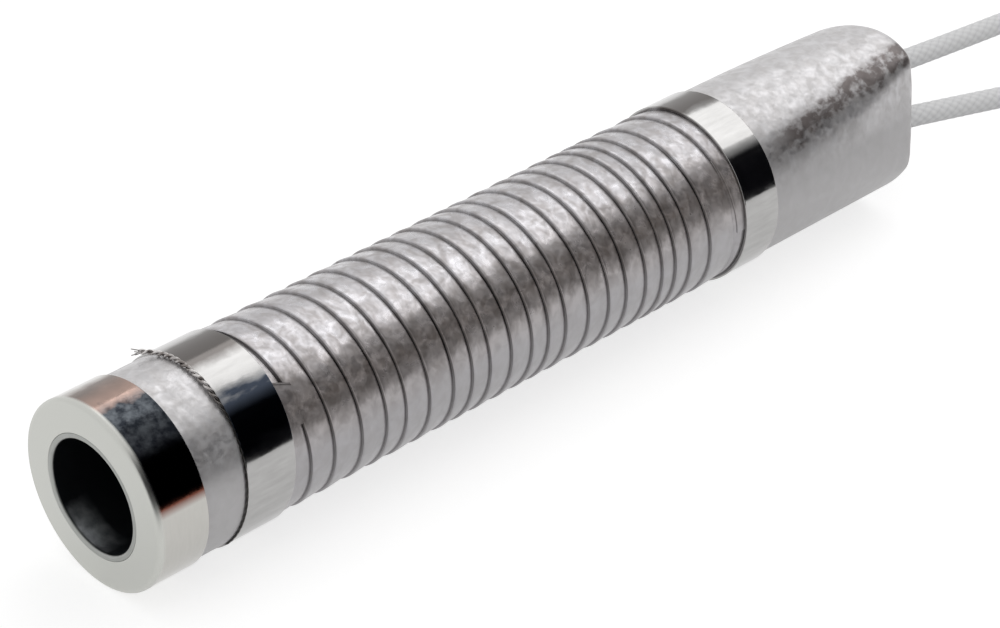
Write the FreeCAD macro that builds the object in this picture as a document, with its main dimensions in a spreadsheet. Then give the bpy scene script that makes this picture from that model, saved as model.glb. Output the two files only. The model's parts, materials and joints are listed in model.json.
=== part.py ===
import FreeCAD, Part
import math
import os

import Sketcher
from FreeCAD import Vector

# Soldering iron heating element, millimetres.
# The origin is the centre of the bore's mouth, at the front face.
# +X runs along the bore to the rear, where the two leads leave, and +Z is up.
# The element lies on its side, on its collar and its leads.

os.makedirs("parts", exist_ok=True)
doc = FreeCAD.newDocument("heating_element")

# Driving dimensions
SIZES = (
    ("bore_dia", 6.2, "bore for a 6 mm tip shank"),
    ("tube_wall", 0.3, "drawn steel tube"),
    ("tube_length", 42.5, "front face to the tube's closed end"),
    ("tube_end_chamfer", 0.5, "drawn corner of the closed end"),
    ("inner_mica_wall", 0.3, "mica roll under the winding"),
    ("winding_build", 0.15, "one layer of fine resistance wire"),
    ("winding_margin", 2.0, "bare mica in front of and behind the winding"),
    ("tail_dia", 0.25, "twisted tail of the winding"),
    ("tail_root_dia", 0.18, "start of a tail on the winding"),
    ("tail_offset", 4.05, "tail's distance from the axis"),
    ("channel_width", 0.36, "slit in the outer mica for a tail"),
    ("channel_top", 4.25, "slit's floor from the axis"),
    ("outer_mica_wall", 0.8, "mica roll over the winding"),
    ("washer_thickness", 0.4, "mica end washers"),
    ("collar_length", 3.1, "polished collar at the front"),
    ("collar_rise", 0.165, "collar above the wound body"),
    ("collar_edge_bevel", 0.25, "front edge of the collar"),
    ("front_sleeve_length", 3.9, "plain sleeve behind the collar"),
    ("jacket_wall", 0.35, "front sleeve, and the wound strip at its high edge"),
    ("strip_thickness", 0.15, "step where a turn of the strip laps the next"),
    ("strip_tail_drop", 0.07, "strip's tail under the rear band, below its low edge"),
    ("joint_gap", 0.05, "between the strip and the sleeves"),
    ("tube_overrun", 1.1, "tube behind the wound strip"),
    ("band_thickness", 0.1, "polished clamping bands"),
    ("front_band_start", 2.5, "collar to the front band"),
    ("front_band_width", 3.05, "front band along the axis"),
    ("front_band_lean", 0.08, "front band, along the axis for each mm up"),
    ("band_trim", 0.5, "spare width that is trimmed off a band"),
    ("rear_band_overlap", 0.65, "rear band over the strip"),
    ("rear_band_lean", 0.01, "rear band, along the axis for each mm up"),
    ("rear_band_width", 2.5, "rear band along the axis"),
    ("rear_sleeve_wall", 0.28, "sheet of the rear sleeve"),
    ("rear_end_lean", 0.22, "rear end, along the axis for each mm up"),
    ("rear_end_chamfer", 0.8, "rim turned in round the mouth"),
    ("mouth_radius", 3.7, "rear mouth"),
    ("chamber_length", 8.8, "closed tube end to the rear insulator"),
    ("liner_wall", 0.14, "mica liner of the chamber"),
    ("liner_clearance", 0.15, "liner to the rear sleeve"),
    ("insulator_thickness", 2.0, "rear insulator"),
    ("insulator_recess", 2.05, "insulator to the mouth, on the axis"),
    ("insulator_clearance", 0.21, "insulator to the rear sleeve"),
    ("crimp_gap", 0.8, "tube's end to the splice crimps"),
    ("crimp_length", 3.0, "splice crimp"),
    ("crimp_bore_dia", 0.56, "splice crimp inside"),
    ("crimp_wall", 0.17, "splice crimp"),
    ("crimp_offset", 3.9, "splice crimp's distance from the axis"),
    ("wire_dia", 0.5, "lead conductor of seven strands, across its corners"),
    ("lead_dia", 1.27, "braided lead sleeve outside"),
    ("lead_bore_dia", 0.6, "braided lead sleeve inside, across its corners"),
    ("lead_hole_clearance", 0.1, "lead to its hole in the insulator"),
    ("lead_a_side", 1.8, "far lead's exit, to the left of the axis"),
    ("lead_a_height", 0.7, "far lead's exit, above the axis"),
    ("lead_b_side", 2.8, "near lead's exit, to the right of the axis"),
    ("lead_b_height", 0.1, "near lead's exit, above the axis"),
    ("bare_tip_length", 8.0, "conductor past the end of its sleeve"),
    ("tie_wire_dia", 0.25, "twisted tie wire"),
    ("tie_wire_start", 135.0, "degrees from the near side to the free end"),
    ("tie_wire_span", 180.0, "degrees that the tie wire goes round"),
    ("tie_tail_length", 1.8, "loose end of the tie wire"),
)

sheet = doc.addObject("Spreadsheet::Sheet", "Sizes")
for row, (alias, value, note) in enumerate(SIZES, start=1):
    sheet.set(f"A{row}", note)
    sheet.set(f"B{row}", str(value))
    sheet.setAlias(f"B{row}", alias)
doc.recompute()


def size(alias):
    """A driving dimension as a number."""
    return float(sheet.get(alias))


# Radii and stations along the axis, worked out from the driving dimensions
layers = doc.addObject("App::VarSet", "Layers")
LAYERS = (
    ("BoreRadius", "Sizes.bore_dia / 2"),
    ("TubeRadius", "Layers.BoreRadius + Sizes.tube_wall"),
    ("InnerMicaRadius", "Layers.TubeRadius + Sizes.inner_mica_wall"),
    ("WindingRadius", "Layers.InnerMicaRadius + Sizes.winding_build"),
    ("PackRadius", "Layers.WindingRadius + Sizes.outer_mica_wall"),
    ("BodyRadius", "Layers.PackRadius + Sizes.jacket_wall"),
    ("CollarRadius", "Layers.BodyRadius + Sizes.collar_rise"),
    ("BandRadius", "Layers.BodyRadius + Sizes.band_thickness"),
    ("RearSleeveRadius", "Layers.PackRadius + Sizes.rear_sleeve_wall"),
    ("LinerRadius", "Layers.PackRadius - Sizes.liner_clearance"),
    ("InsulatorRadius", "Layers.PackRadius - Sizes.insulator_clearance"),
    ("PackStart", "Sizes.collar_length + Sizes.washer_thickness"),
    ("StripStart", "Sizes.collar_length + Sizes.front_sleeve_length + Sizes.joint_gap"),
    ("StripEnd", "Sizes.tube_length - Sizes.tube_overrun"),
    ("RearSleeveStart", "Layers.StripEnd + Sizes.joint_gap"),
    ("LinerStart", "Layers.StripEnd + Sizes.washer_thickness"),
    ("CrimpStart", "Sizes.tube_length + Sizes.crimp_gap"),
    ("CrimpEnd", "Layers.CrimpStart + Sizes.crimp_length"),
    ("InsulatorStart", "Sizes.tube_length + Sizes.chamber_length"),
    ("InsulatorEnd", "Layers.InsulatorStart + Sizes.insulator_thickness"),
    ("MouthX", "Layers.InsulatorEnd + Sizes.insulator_recess"),
)
for name, formula in LAYERS:
    layers.addProperty("App::PropertyFloat", name, "Layers")
    layers.setExpression(name, formula)
doc.recompute()

nodes = []


def new_body(name):
    """A sub-part of its own, whose label names its file."""
    body = doc.addObject("PartDesign::Body", name)
    body.Label = name
    nodes.append(body)
    return body


def new_sketch(body, name, role, along=None):
    """A sketch on one of the body's own planes, moved along the plane's normal."""
    plane = [feature for feature in body.Origin.OriginFeatures if feature.Role == role][0]
    sketch = body.newObject("Sketcher::SketchObject", name)
    sketch.AttachmentSupport = [(plane, "")]
    sketch.MapMode = "FlatFace"
    if along:
        sketch.setExpression("AttachmentOffset.Base.z", along)
    return sketch


def bind(sketch, kind, formula, *where):
    """Adds a dimension whose value follows a formula."""
    index = sketch.addConstraint(Sketcher.Constraint(kind, *where, float(sketch.evalExpression(formula))))
    sketch.setExpression(f"Constraints[{index}]", formula)


def pin_point(sketch, geometry, point, across, upward):
    """Holds a point at two formulas from the sketch's origin, or on an axis where one is 0."""
    for kind, formula, axis in (("DistanceX", across, -2), ("DistanceY", upward, -1)):
        if formula == "0":
            sketch.addConstraint(Sketcher.Constraint("PointOnObject", geometry, point, axis))
        else:
            bind(sketch, kind, formula, -1, 1, geometry, point)


def add_circle(sketch, radius, across="0", upward="0"):
    """A circle whose radius and centre follow formulas."""
    centre = Vector(float(sketch.evalExpression(across)), float(sketch.evalExpression(upward)), 0)
    around = Part.Circle(centre, Vector(0, 0, 1), float(sketch.evalExpression(radius)))
    circle = sketch.addGeometry(around)
    bind(sketch, "Radius", radius, circle)
    pin_point(sketch, circle, 3, across, upward)


def add_outline(sketch, corners):
    """A closed outline of straight lines, each corner held by two formulas."""
    places = [Vector(*(float(sketch.evalExpression(formula)) for formula in corner), 0) for corner in corners]
    first, count = sketch.GeometryCount, len(corners)
    for index in range(count):
        sketch.addGeometry(Part.LineSegment(places[index], places[(index + 1) % count]))
    for index in range(count):
        sketch.addConstraint(Sketcher.Constraint("Coincident", first + index, 2, first + (index + 1) % count, 1))
    for index, (across, upward) in enumerate(corners):
        pin_point(sketch, first + index, 1, across, upward)


def pad(body, sketch, name, length):
    """Extrudes a sketch towards the rear."""
    feature = body.newObject("PartDesign::Pad", name)
    feature.Profile = sketch
    feature.setExpression("Length", length)
    return feature


def cut_away(body, sketch, name, length=None, reverse=True):
    """Cuts a sketch from the body, to a depth or right through on both sides, and checks that it did."""
    doc.recompute()
    before = body.Shape.Volume
    feature = body.newObject("PartDesign::Pocket", name)
    feature.Profile = sketch
    if length:
        feature.Reversed = reverse
        feature.setExpression("Length", length)
    else:
        feature.SideType = "Symmetric"
        feature.Type = "ThroughAll"
    doc.recompute()
    if not body.Shape.Volume < before:
        raise RuntimeError(f"{name} cuts nothing from {body.Label}")
    return feature


def ring(name, inner, outer, start, length):
    """A plain ring round the axis."""
    body = new_body(name)
    sketch = new_sketch(body, name + "_section", "YZ_Plane", start)
    add_circle(sketch, outer)
    add_circle(sketch, inner)
    pad(body, sketch, name + "_pad", length)
    return body


def round_edges(shape, radius, x):
    """Names of a shape's circular edges of about that radius that lie across the axis at x."""
    names = []
    for index, edge in enumerate(shape.Edges, start=1):
        box = edge.BoundBox
        centred = abs(edge.CenterOfMass.y) < TOUCH and abs(edge.CenterOfMass.z) < TOUCH
        if centred and abs(box.XMin - x) < TOUCH and box.XLength < TOUCH and abs(box.YMax - radius) < TOUCH:
            names.append(f"Edge{index}")
    return names


def dress(body, kind, name, edges, value, radius_formula):
    """A fillet or a chamfer on the body's last feature."""
    base = body.Tip
    feature = body.newObject(kind, name)
    feature.Base = (base, edges)
    feature.setExpression(value, radius_formula)
    return feature


TOUCH = 0.001
EVEN_WALL = 0.586
STRAND_SIDES = 6


# Core tube, drawn in one piece with a closed end, where the tip shank stops
def make_core_tube():
    body = new_body("core_tube")
    outside = new_sketch(body, "core_tube_outside", "YZ_Plane")
    add_circle(outside, "Layers.TubeRadius")
    pad(body, outside, "core_tube_blank", "Sizes.tube_length")
    doc.recompute()
    closed_edge = round_edges(body.Shape, layers.TubeRadius, size("tube_length"))
    dress(body, "PartDesign::Chamfer", "core_tube_corner", closed_edge, "Size", "Sizes.tube_end_chamfer")
    inside = new_sketch(body, "core_tube_inside", "YZ_Plane")
    add_circle(inside, "Layers.BoreRadius")
    cut_away(body, inside, "core_tube_bore", "Sizes.tube_length - Sizes.tube_wall")


# Turned collar pressed on the tube's front end
def make_front_collar():
    body = ring("front_collar", "Layers.TubeRadius", "Layers.CollarRadius", "0", "Sizes.collar_length")
    doc.recompute()
    front = round_edges(body.Shape, layers.CollarRadius, 0)
    dress(body, "PartDesign::Chamfer", "front_collar_edge", front, "Size", "Sizes.collar_edge_bevel")


# Mica round the tube, the winding on it, mica round the winding, and a washer at each end
def make_heater_pack():
    ring("front_mica_washer", "Layers.TubeRadius", "Layers.PackRadius", "Sizes.collar_length", "Sizes.washer_thickness")
    pack_length = "Layers.StripEnd - Layers.PackStart"
    ring("inner_mica", "Layers.TubeRadius", "Layers.InnerMicaRadius", "Layers.PackStart", pack_length)
    make_winding()
    outer = ring("outer_mica", "Layers.WindingRadius", "Layers.PackRadius", "Layers.PackStart", pack_length)
    slit_for_tails(outer, "Layers.PackStart", pack_length)
    washer = ring(
        "rear_mica_washer", "Layers.TubeRadius", "Layers.PackRadius", "Layers.StripEnd", "Sizes.washer_thickness"
    )
    slit_for_tails(washer, "Layers.StripEnd", "Sizes.washer_thickness")


def slit_for_tails(body, start, length):
    """Two slits that the winding's tails run through, one on each side."""
    slits = new_sketch(body, body.Label + "_slits", "YZ_Plane", start)
    bottom = "Layers.InnerMicaRadius"
    half = "Sizes.channel_width / 2"
    for side in (1, -1):
        corners = (
            (f"{side} * {bottom}", f"-{half}"),
            (f"{side} * Sizes.channel_top", f"-{half}"),
            (f"{side} * Sizes.channel_top", half),
            (f"{side} * {bottom}", half),
        )
        add_outline(slits, corners)
    cut_away(body, slits, body.Label + "_slit_cut", length)


# Fine resistance wire, close wound in one layer, with its two ends brought to the rear as tails
def make_winding():
    start = "Layers.PackStart + Sizes.winding_margin"
    body = ring(
        "heating_winding",
        "Layers.InnerMicaRadius",
        "Layers.WindingRadius",
        start,
        "Layers.StripEnd - Layers.PackStart - 2 * Sizes.winding_margin",
    )
    tail_end = "Layers.CrimpStart + Sizes.crimp_length / 2 - Sizes.joint_gap"
    rear_start = "Layers.StripEnd - Sizes.winding_margin - 2 * Sizes.tail_dia"
    for name, side, begin in (("return_tail", 1, start), ("feed_tail", -1, rear_start)):
        along = new_sketch(body, name, "YZ_Plane", begin)
        add_outline(along, six_corners(f"{side} * Sizes.tail_offset", "Sizes.tail_dia / 2"))
        pad(body, along, name + "_pad", f"{tail_end} - ({begin})")
        root = new_sketch(body, name + "_root", "XZ_Plane", f"{-side} * Sizes.tail_offset")
        add_outline(root, six_corners(f"({begin} + Sizes.tail_dia)", "Sizes.tail_root_dia / 2"))
        stub = pad(body, root, name + "_stub", "Sizes.tail_offset - Layers.InnerMicaRadius - Sizes.winding_build / 2")
        stub.Reversed = side < 0
    doc.recompute()


def six_corners(across, radius):
    """The corners of a hexagon centred on a sketch's horizontal axis, which has no corner on it."""
    steep, flat = math.cos(math.pi / STRAND_SIDES), math.sin(math.pi / STRAND_SIDES)
    turns = ((steep, flat), (0, 1), (-steep, flat), (-steep, -flat), (0, -1), (steep, -flat))
    return [(f"{across} + {right} * {radius}", f"{up} * {radius}") for right, up in turns]


# Sheet steel sleeve between the collar and the front band
def make_front_sleeve():
    ring("front_sleeve", "Layers.PackRadius", "Layers.BodyRadius", "Sizes.collar_length", "Sizes.front_sleeve_length")


# Hand-wound steel strip. Each turn laps the next, so its visible width varies along the body.
# Each share is one turn's advance against the mean, from the front to the rear.
TURN_SHARES = (
    0.69, 1.21, 1.07, 1.24, 1.14, 0.90, 1.10, 1.14, 0.90, 0.86, 1.03, 1.00,
    0.83, 0.86, 1.14, 1.03, 0.90, 1.00, 0.86, 0.69, 0.79, 1.07, 1.38, 0.86,
)
POINTS_A_TURN = 12
CYLINDER_SEAM = 100.0
TAIL_LAP = 0.3


def lap_positions():
    """Where each lap crosses the near side of the body, from the front to the rear."""
    length = layers.StripEnd - layers.StripStart
    positions = [layers.StripStart]
    for share in TURN_SHARES:
        positions.append(positions[-1] + length * share / sum(TURN_SHARES))
    return positions


def lap_x(positions, turns):
    """The lap's place after that many turns, on a smooth curve through its positions."""
    last = len(positions) - 1
    index = min(int(turns), last - 1)
    part = turns - index
    before, here, ahead, beyond = (positions[min(max(index + step, 0), last)] for step in (-1, 0, 1, 2))
    slope = ahead - before
    bend = 2 * before - 5 * here + 4 * ahead - beyond
    twist = 3 * here - before - 3 * ahead + beyond
    return here + part * (slope + part * (bend + part * twist)) / 2


def lap_edge(positions, turn, radius):
    """One turn of a lap, as an edge that goes once round the body."""
    points = []
    for step in range(POINTS_A_TURN + 1):
        angle = 2 * math.pi * step / POINTS_A_TURN
        x = lap_x(positions, turn + step / POINTS_A_TURN)
        points.append(Vector(x, -radius * math.cos(angle), -radius * math.sin(angle)))
    start_rise = (lap_x(positions, turn + TOUCH) - lap_x(positions, turn)) / TOUCH
    end_rise = (lap_x(positions, turn + 1) - lap_x(positions, turn + 1 - TOUCH)) / TOUCH
    curve = Part.BSplineCurve()
    curve.interpolate(
        Points=points,
        Parameters=[step / POINTS_A_TURN for step in range(POINTS_A_TURN + 1)],
        InitialTangent=Vector(start_rise, 0, -2 * math.pi * radius),
        FinalTangent=Vector(end_rise, 0, -2 * math.pi * radius),
        Scale=False,
    )
    return curve.toShape()


def end_face(front_x, rear_x, low, high):
    """The strip's cut end, in the plane through the axis and the near side."""
    corners = ((front_x, 0), (front_x, high), (rear_x, low), (rear_x, 0), (front_x, 0))
    return Part.Face(Part.makePolygon([Vector(x, -radius, 0) for x, radius in corners]))


def turned_rod(start, end, radius):
    """A plain rod on the axis, with its seam away from the strip's cut ends."""
    rod = Part.makeCylinder(radius, end - start, Vector(start, 0, 0), Vector(1, 0, 0))
    rod.rotate(Vector(0, 0, 0), Vector(1, 0, 0), CYLINDER_SEAM)
    return rod


def make_binding_strip():
    positions = lap_positions()
    turns = len(positions) - 2
    high = layers.BodyRadius
    low = high - size("strip_thickness")
    low_edges = [lap_edge(positions, turn, low) for turn in range(turns + 1)]
    high_edges = [lap_edge(positions, turn, high) for turn in range(turns + 1)]
    faces = [Part.makeRuledSurface(high_edges[turn], low_edges[turn + 1]) for turn in range(turns)]
    faces += [Part.makeRuledSurface(low_edges[turn], high_edges[turn]) for turn in range(1, turns)]
    faces.append(Part.makeRuledSurface(lap_edge(positions, 0, 0), high_edges[0]))
    faces.append(Part.makeRuledSurface(low_edges[turns], lap_edge(positions, turns, 0)))
    faces.append(end_face(positions[0], positions[1], low, high))
    faces.append(end_face(positions[turns], positions[turns + 1], low, high))
    shell = Part.Compound(faces)
    shell.sewShape()
    wound = Part.Solid(shell.Shells[0])
    if wound.Volume < 0:
        wound.reverse()
    tail = turned_rod(positions[turns] - TAIL_LAP, layers.StripEnd, low - size("strip_tail_drop"))
    inside = turned_rod(0, layers.StripEnd, layers.PackRadius)
    strip = doc.addObject("Part::Feature", "binding_strip")
    strip.Label = "binding_strip"
    strip.Shape = wound.fuse(tail).cut(inside).Solids[0]
    nodes.append(strip)


# Polished bands that clamp the strip's two ends
def make_bands():
    front_start = "Sizes.collar_length + Sizes.front_band_start"
    add_band("front_band", front_start, "Sizes.front_band_width", "Sizes.front_band_lean")
    rear_start = "Layers.StripEnd - Sizes.rear_band_overlap"
    add_band("rear_band", rear_start, "Sizes.rear_band_width", "Sizes.rear_band_lean")


def add_band(name, start, width, lean):
    """A ring whose two edges lean rearward with height."""
    reach = f"({lean} * Layers.BandRadius + Sizes.band_trim)"
    body = ring(name, "Layers.BodyRadius", "Layers.BandRadius", f"{start} - {reach}", f"{width} + 2 * {reach}")
    trim = new_sketch(body, name + "_trim", "XZ_Plane")
    tall = "(Layers.BandRadius + Sizes.band_trim)"
    for near, side in ((start, -1), (f"{start} + {width}", 1)):
        outside = f"{near} + {side} * 2 * {reach}"
        add_outline(
            trim,
            (
                (f"{near} - {lean} * {tall}", f"-{tall}"),
                (f"{near} + {lean} * {tall}", tall),
                (outside, tall),
                (outside, f"-{tall}"),
            ),
        )
    cut_away(body, trim, name + "_trimmed")


# Sheet steel sleeve round the rear chamber, with its rim turned in round a leaning mouth
def make_rear_sleeve():
    outer = rear_sleeve_form("rear_sleeve_outside", "0")
    inner = rear_sleeve_form("rear_sleeve_inside", "Sizes.rear_sleeve_wall")
    hollow = doc.addObject("Part::Cut", "rear_sleeve_hollow")
    hollow.Base = outer
    hollow.Tool = inner
    mouth = doc.addObject("Part::Cylinder", "rear_sleeve_mouth")
    mouth.setExpression("Radius", "Sizes.mouth_radius")
    mouth.setExpression("Height", "2 * Sizes.insulator_recess")
    mouth.Placement.Rotation = FreeCAD.Rotation(Vector(0, 1, 0), 90)
    mouth.setExpression("Placement.Base.x", "Layers.InsulatorEnd")
    sleeve = doc.addObject("Part::Cut", "rear_sleeve")
    sleeve.Label = "rear_sleeve"
    sleeve.Base = hollow
    sleeve.Tool = mouth
    nodes.append(sleeve)


def rear_sleeve_form(name, inset):
    """The rear sleeve's outer form, or with its wall as the inset, the space in it."""
    body = doc.addObject("PartDesign::Body", name)
    start = f"(Layers.RearSleeveStart - {inset})"
    tall = "(Layers.RearSleeveRadius + Sizes.rear_end_chamfer)"
    section = new_sketch(body, name + "_section", "YZ_Plane", start)
    add_circle(section, f"Layers.RearSleeveRadius - {inset}")
    pad(body, section, name + "_round", f"Layers.MouthX + Sizes.rear_end_lean * {tall} - {start}")
    trim = new_sketch(body, name + "_trim", "XZ_Plane")
    end = f"(Layers.MouthX - {inset})"
    beyond = f"Layers.MouthX + 2 * {tall}"
    add_outline(
        trim,
        (
            (f"{end} - Sizes.rear_end_lean * {tall}", f"-{tall}"),
            (f"{end} + Sizes.rear_end_lean * {tall}", tall),
            (beyond, tall),
            (beyond, f"-{tall}"),
        ),
    )
    cut_away(body, trim, name + "_end")
    rim = [
        f"Edge{index}"
        for index, edge in enumerate(body.Shape.Edges, start=1)
        if edge.BoundBox.XMin > layers.InsulatorEnd and edge.BoundBox.YLength > layers.PackRadius
    ]
    corner = f"Sizes.rear_end_chamfer - {EVEN_WALL} * {inset}"
    dress(body, "PartDesign::Chamfer", name + "_rim", rim, "Size", corner)
    return body


# Mica liner of the chamber, and the ceramic insulator that holds the leads apart
def make_chamber():
    ring(
        "chamber_liner",
        "Layers.LinerRadius - Sizes.liner_wall",
        "Layers.LinerRadius",
        "Layers.LinerStart",
        "Layers.InsulatorStart - Layers.LinerStart",
    )
    body = new_body("rear_insulator")
    disc = new_sketch(body, "rear_insulator_disc", "YZ_Plane", "Layers.InsulatorStart")
    add_circle(disc, "Layers.InsulatorRadius")
    pad(body, disc, "rear_insulator_pad", "Sizes.insulator_thickness")
    holes = new_sketch(body, "rear_insulator_holes", "YZ_Plane", "Layers.InsulatorStart")
    for side, height in LEAD_EXITS.values():
        add_circle(holes, "Sizes.lead_dia / 2 + Sizes.lead_hole_clearance", side, height)
    cut_away(body, holes, "rear_insulator_bores", "Sizes.insulator_thickness")


LEAD_EXITS = {
    "a": ("Sizes.lead_a_side", "Sizes.lead_a_height"),
    "b": ("-Sizes.lead_b_side", "Sizes.lead_b_height"),
}
LEAD_SIDES = {"a": 1, "b": -1}


# Splice crimps that join the winding's tails to the leads
def make_crimps():
    for lead, side in LEAD_SIDES.items():
        body = new_body(f"splice_crimp_{lead}")
        section = new_sketch(body, f"splice_crimp_{lead}_section", "YZ_Plane", "Layers.CrimpStart")
        across = f"{side} * Sizes.crimp_offset"
        add_circle(section, "Sizes.crimp_bore_dia / 2 + Sizes.crimp_wall", across)
        add_circle(section, "Sizes.crimp_bore_dia / 2", across)
        pad(body, section, f"splice_crimp_{lead}_pad", "Sizes.crimp_length")


# Leads: each runs level out of its hole, droops to the surface and lies along it.
# The first number of each point is its distance behind the mouth.
FLOOR = -layers.CollarRadius + size("lead_dia") / 2
LEAD_ROUTES = {
    "a": ((37.0, 3.4, FLOOR), (61.7, 6.2, FLOOR)),
    "b": ((20.0, -3.3, FLOOR), (61.6, -6.2, FLOOR)),
}
CORNER_SHARE = 0.45
SLEEVE_LEAD_IN = 0.35
LEVEL_DROP = 0.06
CRIMP_EXIT = 0.6
INNER_BEND = 1.9


def route_edges(points, label):
    """Straight runs joined by the largest tangent arcs that fit them."""
    edges, here, radii = [], points[0], []
    for before, corner, after in zip(points, points[1:], points[2:]):
        back, on = (before - corner), (after - corner)
        cut = CORNER_SHARE * min(back.Length, on.Length)
        half_turn = (math.pi - back.getAngle(on)) / 2
        radius = cut / math.tan(half_turn)
        back.normalize()
        on.normalize()
        inward = (back + on).normalize()
        start, end = corner + back * cut, corner + on * cut
        middle = corner + inward * (radius / math.cos(half_turn) - radius)
        edges.append(Part.LineSegment(here, start).toShape())
        edges.append(Part.Arc(start, middle, end).toShape())
        here = end
        radii.append(round(radius, 1))
    edges.append(Part.LineSegment(here, points[-1]).toShape())
    print(label, "arc radii", radii)
    return edges


def six_sided(centre, ahead, radius):
    """A hexagon across a path, its corners at that radius."""
    across = ahead.cross(Vector(0, 0, 1)).normalize() * radius
    turn = 360 / STRAND_SIDES
    corners = [FreeCAD.Rotation(ahead, turn * side).multVec(across) + centre for side in range(STRAND_SIDES)]
    return Part.makePolygon([*corners, corners[0]])


def swept(edges, section):
    """A flat section swept along edges."""
    path = Part.Wire(edges)
    shape = path.makePipe(section)
    if abs(shape.Volume / (section.Area * path.Length) - 1) > TOUCH:
        raise RuntimeError(f"swept volume {shape.Volume}, path length {path.Length}")
    return shape


def path_start(edges):
    """A path's first point and its direction there."""
    return edges[0].Vertexes[0].Point, edges[0].tangentAt(edges[0].FirstParameter)


def strand(edges, radius):
    """A conductor of seven strands or a twisted wire, with the six-sided outline that its strands have."""
    start, ahead = path_start(edges)
    return swept(edges, Part.Face(six_sided(start, ahead, radius)))


def braided(edges, outer, bore):
    """A round braided sleeve, its bore drawn to the conductor's six sides."""
    start, ahead = path_start(edges)
    rim = Part.Face(Part.Wire(Part.Circle(start, ahead, outer).toShape()))
    return swept(edges, rim.cut(Part.Face(six_sided(start, ahead, bore))).Faces[0])


def add_feature(name, shape):
    feature = doc.addObject("Part::Feature", name)
    feature.Label = name
    feature.Shape = shape
    nodes.append(feature)


def make_leads():
    for lead, side in LEAD_SIDES.items():
        across, height = (float(layers.evalExpression(formula)) for formula in LEAD_EXITS[lead])
        begin = Vector(layers.InsulatorStart - SLEEVE_LEAD_IN, across, height + LEVEL_DROP)
        mouth = Vector(layers.MouthX, across, height - LEVEL_DROP)
        rest = [Vector(layers.MouthX + x, y, z) for x, y, z in LEAD_ROUTES[lead]]
        sleeve_edges = route_edges([begin, mouth, *rest], f"lead_sleeve_{lead}")
        add_feature(f"lead_sleeve_{lead}", braided(sleeve_edges, size("lead_dia") / 2, size("lead_bore_dia") / 2))
        level = (mouth - begin).normalize()
        spliced = Vector(layers.CrimpStart + size("crimp_length") / 2, side * size("crimp_offset"), 0)
        leaving = Vector(layers.CrimpEnd + CRIMP_EXIT, spliced.y, 0)
        inner_edges = route_edges([spliced, leaving, begin - level * INNER_BEND, begin], f"lead_wire_{lead}")
        onward = (rest[-1] - rest[-2]).normalize()
        tip = Part.LineSegment(rest[-1], rest[-1] + onward * size("bare_tip_length")).toShape()
        add_feature(f"lead_wire_{lead}", strand([*inner_edges, *sleeve_edges, tip], size("wire_dia") / 2))
        print(f"lead_{lead} sleeve", round(Part.Wire(sleeve_edges).Length, 2), "mm")


# Twisted tie wire along the front band's edge, with a loose end at the back
TIE_TAIL_DIRECTION = Vector(-0.56, 0.82, -0.06)
TIE_TAIL_LEAD_IN = 0.5


def make_tie_wire():
    radius = size("tie_wire_dia") / 2
    lean = math.atan(size("front_band_lean"))
    reach = (layers.BodyRadius + radius) / math.cos(lean)
    band_edge = size("collar_length") + size("front_band_start")

    def on_loop(degrees):
        angle = math.radians(degrees)
        x = band_edge - radius + reach * math.sin(lean) * math.sin(angle)
        return Vector(x, -reach * math.cos(angle), reach * math.cos(lean) * math.sin(angle))

    free = size("tie_wire_start")
    tucked = free - size("tie_wire_span")
    loop = Part.Arc(on_loop(tucked), on_loop((free + tucked) / 2), on_loop(free)).toShape()
    onward = (on_loop(free + TOUCH) - on_loop(free - TOUCH)).normalize()
    bend = on_loop(free) + onward * TIE_TAIL_LEAD_IN
    tail = Vector(TIE_TAIL_DIRECTION).normalize() * size("tie_tail_length")
    edges = [loop, *route_edges([on_loop(free), bend, bend + tail], "tie_wire")]
    add_feature("tie_wire", strand(edges, radius))


make_core_tube()
make_front_collar()
make_heater_pack()
make_front_sleeve()
make_binding_strip()
make_bands()
make_rear_sleeve()
make_chamber()
make_crimps()
make_leads()
make_tie_wire()
doc.recompute()

for item in doc.Objects:
    if "Invalid" in item.State or "Error" in item.State:
        raise RuntimeError(f"{item.Label} failed: {item.State}")
for node in nodes:
    if node.Shape.isNull() or not node.Shape.isValid():
        raise RuntimeError(f"{node.Label} has no valid shape")
    node.Shape.exportStep(f"parts/{node.Label}.step")
    print(node.Label, node.Shape.ShapeType, len(node.Shape.Solids), round(node.Shape.Volume, 3), "mm3")
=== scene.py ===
import json
import math
import random

import bmesh
import bpy
from mathutils import Matrix, Vector, noise


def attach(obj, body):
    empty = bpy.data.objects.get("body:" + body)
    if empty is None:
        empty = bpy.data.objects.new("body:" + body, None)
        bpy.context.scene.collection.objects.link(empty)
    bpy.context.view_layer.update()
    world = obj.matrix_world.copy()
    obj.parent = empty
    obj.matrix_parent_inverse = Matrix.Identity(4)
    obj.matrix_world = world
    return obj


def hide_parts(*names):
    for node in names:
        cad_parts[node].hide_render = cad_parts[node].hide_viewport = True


# The looks of the soldering iron heating element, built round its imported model.
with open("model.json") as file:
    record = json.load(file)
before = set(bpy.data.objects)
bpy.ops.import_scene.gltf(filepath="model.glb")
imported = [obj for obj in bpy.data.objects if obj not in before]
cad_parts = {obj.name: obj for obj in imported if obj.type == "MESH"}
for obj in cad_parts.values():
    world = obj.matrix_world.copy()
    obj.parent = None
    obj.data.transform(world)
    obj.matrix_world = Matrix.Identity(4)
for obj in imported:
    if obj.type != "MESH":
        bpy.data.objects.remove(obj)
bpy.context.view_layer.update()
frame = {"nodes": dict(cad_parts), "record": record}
scene = bpy.context.scene
scene.view_settings.view_transform = "Standard"

MM = 0.001
BODY = "root"

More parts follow.
